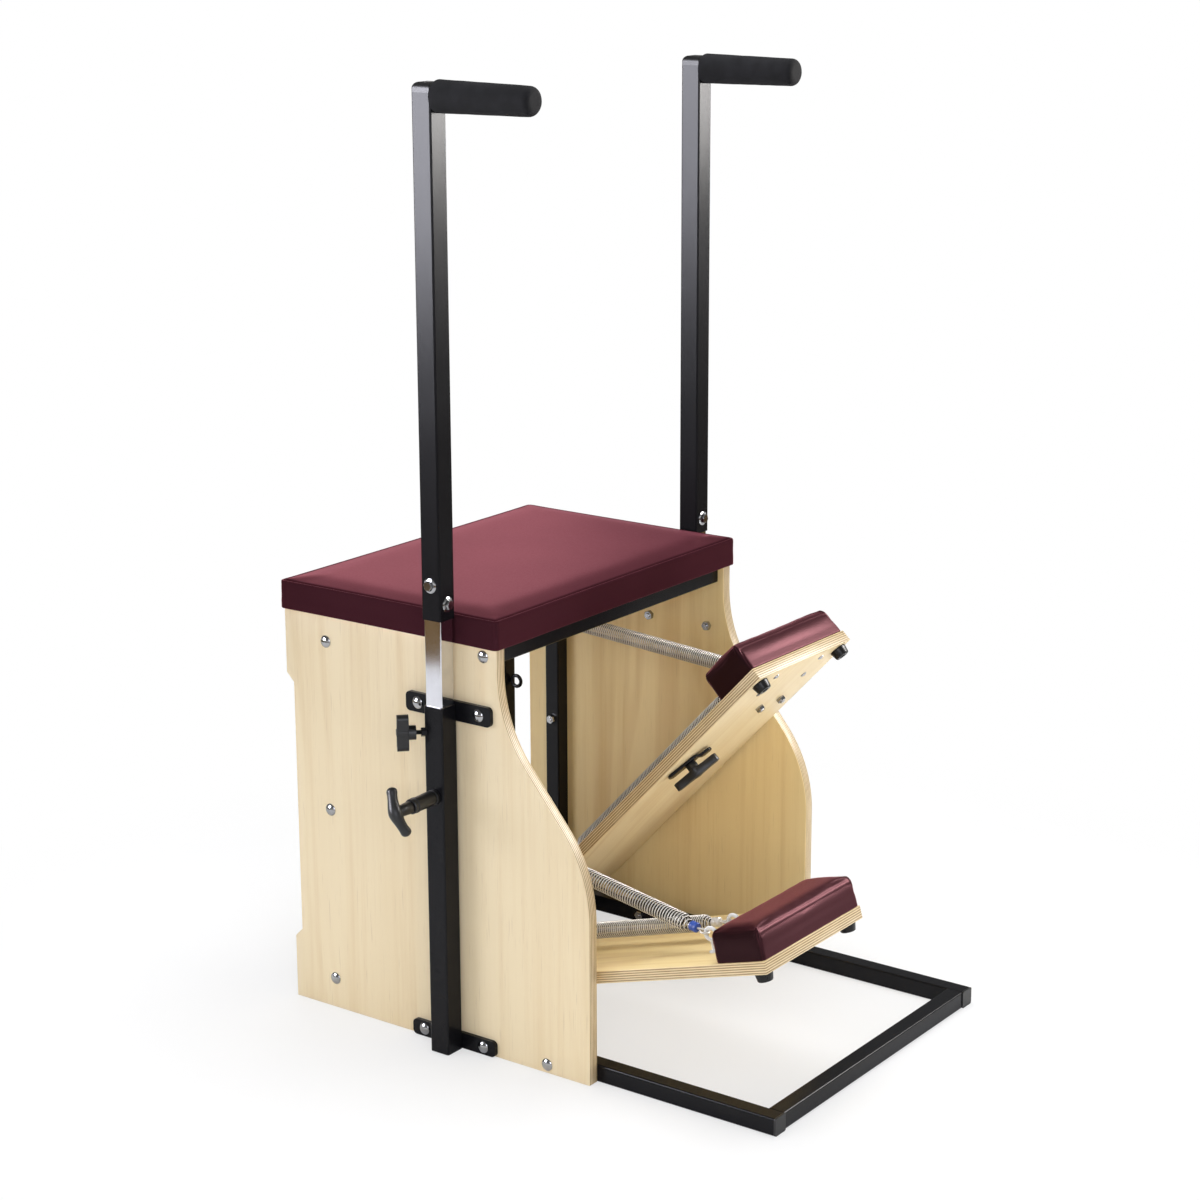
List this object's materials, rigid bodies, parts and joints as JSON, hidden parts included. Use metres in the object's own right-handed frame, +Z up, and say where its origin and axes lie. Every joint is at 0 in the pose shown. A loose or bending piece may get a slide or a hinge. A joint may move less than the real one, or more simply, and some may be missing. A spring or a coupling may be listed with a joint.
{
  "type": "pilates chair",
  "caption": "Plywood pilates chair with padded seat, split spring-loaded foot pedals hinged at the base, and height-adjustable side handles in square tubes.",
  "frame": {"origin": "on the floor under the middle of the chair's outer box", "axes": "+Z up, -Y to the front where the pedals point, +X to the chair's side with the raised pedal"},
  "size_m": [0.8234, 0.83, 1.3515],
  "materials": {
    "birch_ply": "clear satin lacquer",
    "vinyl": "burgundy vinyl, fine grain",
    "black_coat": "black satin powder coat",
    "chrome": "bright plated tube",
    "zinc": "bright zinc",
    "spring_steel": "bright spring wire",
    "black_plastic": "moulded black",
    "foam": "matt black foam",
    "rubber": "black rubber"
  },
  "bodies": {
    "frame": {"left_side_panel": "birch_ply", "right_side_panel": "birch_ply", "seat_board": "birch_ply", "seat_cushion": "vinyl", "front_seat_rail": "black_coat", "rear_seat_rail": "black_coat", "left_base_bar": "black_coat", "right_base_bar": "black_coat", "front_base_bar": "black_coat", "hinge_base_bar": "black_coat", "rear_base_bar": "black_coat", "base_end_caps": "black_plastic", "left_side_post": "black_coat", "right_side_post": "black_coat", "left_spring_post": "black_coat", "right_spring_post": "black_coat", "post_eyes": "black_coat", "panel_bolts": "zinc", "bracket_bolts": "zinc", "left_receiver": "black_coat", "right_receiver": "black_coat", "pin_barrels": "black_plastic", "hinge_pins": "zinc", "hinge_base_leaves": "zinc"},
    "left_pedal": {"left_pedal_board": "birch_ply", "left_pedal_pad": "vinyl", "left_pedal_feet": "rubber", "left_pedal_screws": "zinc", "left_pedal_eyes": "zinc", "left_hinge_leaf": "zinc", "left_parked_spring": "spring_steel"},
    "left_spring": {"left_spring_tail": "spring_steel", "left_spring_coil": "spring_steel"},
    "left_spring_end": {"left_spring_hook": "spring_steel"},
    "left_handle": {"left_mast": "black_coat", "left_inner_tube": "chrome", "left_mast_bolts": "zinc", "left_mast_cap": "black_plastic", "left_grip": "foam"},
    "left_pin": {"left_pull_pin": "black_plastic"},
    "left_clamp": {"left_clamp_knob": "black_plastic"},
    "right_pedal": {"right_pedal_board": "birch_ply", "right_pedal_pad": "vinyl", "right_pedal_feet": "rubber", "right_pedal_screws": "zinc", "right_pedal_eyes": "zinc", "right_hinge_leaf": "zinc", "right_parked_spring": "spring_steel"},
    "right_spring": {"right_spring_tail": "spring_steel", "right_spring_coil": "spring_steel"},
    "right_spring_end": {"right_spring_hook": "spring_steel"},
    "right_handle": {"right_mast": "black_coat", "right_inner_tube": "chrome", "right_mast_bolts": "zinc", "right_mast_cap": "black_plastic", "right_grip": "foam"},
    "right_pin": {"right_pull_pin": "black_plastic"},
    "right_clamp": {"right_clamp_knob": "black_plastic"},
    "link_plate": {"link_plate": "black_coat"},
    "link_knob": {"link_knob": "black_plastic"}
  },
  "joints": [
    {"name": "left_pedal_hinge", "type": "hinge", "parent": "frame", "child": "left_pedal", "pos_m": [0, 0.2564, 0.0254], "axis": [-1, 0, 0], "range_deg": [-15.59, 0], "stiffness_Nm_per_rad": 60, "springref_deg": 25.78},
    {"name": "left_spring_swing", "type": "hinge", "parent": "frame", "child": "left_spring", "pos_m": [-0.12, 0.3096, 0.283], "axis": [-1, 0, 0], "range_deg": [-13.4, 0.5]},
    {"name": "left_spring_stretch", "type": "slide", "parent": "left_spring", "child": "left_spring_end", "axis": [0, -0.9953, -0.0965], "range_m": [-0.001, 0.06638], "deforming": ["left_spring_coil", "left_spring_hook"]},
    {"name": "left_handle_slide", "type": "slide", "parent": "frame", "child": "left_handle", "axis": [0, 0, 1], "range_m": [-0.12, 0.12]},
    {"name": "left_pin_pull", "type": "slide", "parent": "frame", "child": "left_pin", "axis": [-1, 0, 0], "range_m": [0, 0.012], "stiffness_N_per_m": 400, "springref_m": -0.01},
    {"name": "left_clamp_turn", "type": "hinge", "parent": "frame", "child": "left_clamp", "pos_m": [-0.30788, 0.1088, 0.473], "axis": [-0.7071, 0.7071, 0], "range_deg": [0, 180]},
    {"name": "right_pedal_hinge", "type": "hinge", "parent": "frame", "child": "right_pedal", "pos_m": [0, 0.2564, 0.0254], "axis": [-1, 0, 0], "range_deg": [-46.14, 0], "stiffness_Nm_per_rad": 40, "springref_deg": 37.24},
    {"name": "right_spring_swing", "type": "hinge", "parent": "frame", "child": "right_spring", "pos_m": [0.12, 0.3096, 0.525], "axis": [-1, 0, 0], "range_deg": [-27.92, 0.5]},
    {"name": "right_spring_stretch", "type": "slide", "parent": "right_spring", "child": "right_spring_end", "axis": [0, -0.9884, -0.1521], "range_m": [-0.001, 0.3516], "deforming": ["right_spring_coil", "right_spring_hook"]},
    {"name": "right_handle_slide", "type": "slide", "parent": "frame", "child": "right_handle", "axis": [0, 0, 1], "range_m": [-0.12, 0.12]},
    {"name": "right_pin_pull", "type": "slide", "parent": "frame", "child": "right_pin", "axis": [1, 0, 0], "range_m": [0, 0.012], "stiffness_N_per_m": 400, "springref_m": -0.01},
    {"name": "right_clamp_turn", "type": "hinge", "parent": "frame", "child": "right_clamp", "pos_m": [0.30788, 0.1088, 0.473], "axis": [0.7071, 0.7071, 0], "range_deg": [0, 180]},
    {"name": "link_plate_turn", "type": "hinge", "parent": "right_pedal", "child": "link_plate", "pos_m": [0.06, -0.05362, 0.35844], "axis": [0, -0.7319, -0.6814], "range_deg": [-60, 60]},
    {"name": "link_knob_turn", "type": "hinge", "parent": "right_pedal", "child": "link_knob", "pos_m": [0.06, -0.05362, 0.35844], "axis": [0, -0.7319, -0.6814], "range_deg": [0, 180]}
  ],
  "couplings": [
    {"joint": "left_spring_swing", "follows": "left_pedal_hinge", "ratio": 0.82711},
    {"joint": "left_spring_stretch", "follows": "left_pedal_hinge", "m_per_rad": -0.24026},
    {"joint": "right_spring_swing", "follows": "right_pedal_hinge", "ratio": 0.59432},
    {"joint": "right_spring_stretch", "follows": "right_pedal_hinge", "m_per_rad": -0.43535}
  ]
}
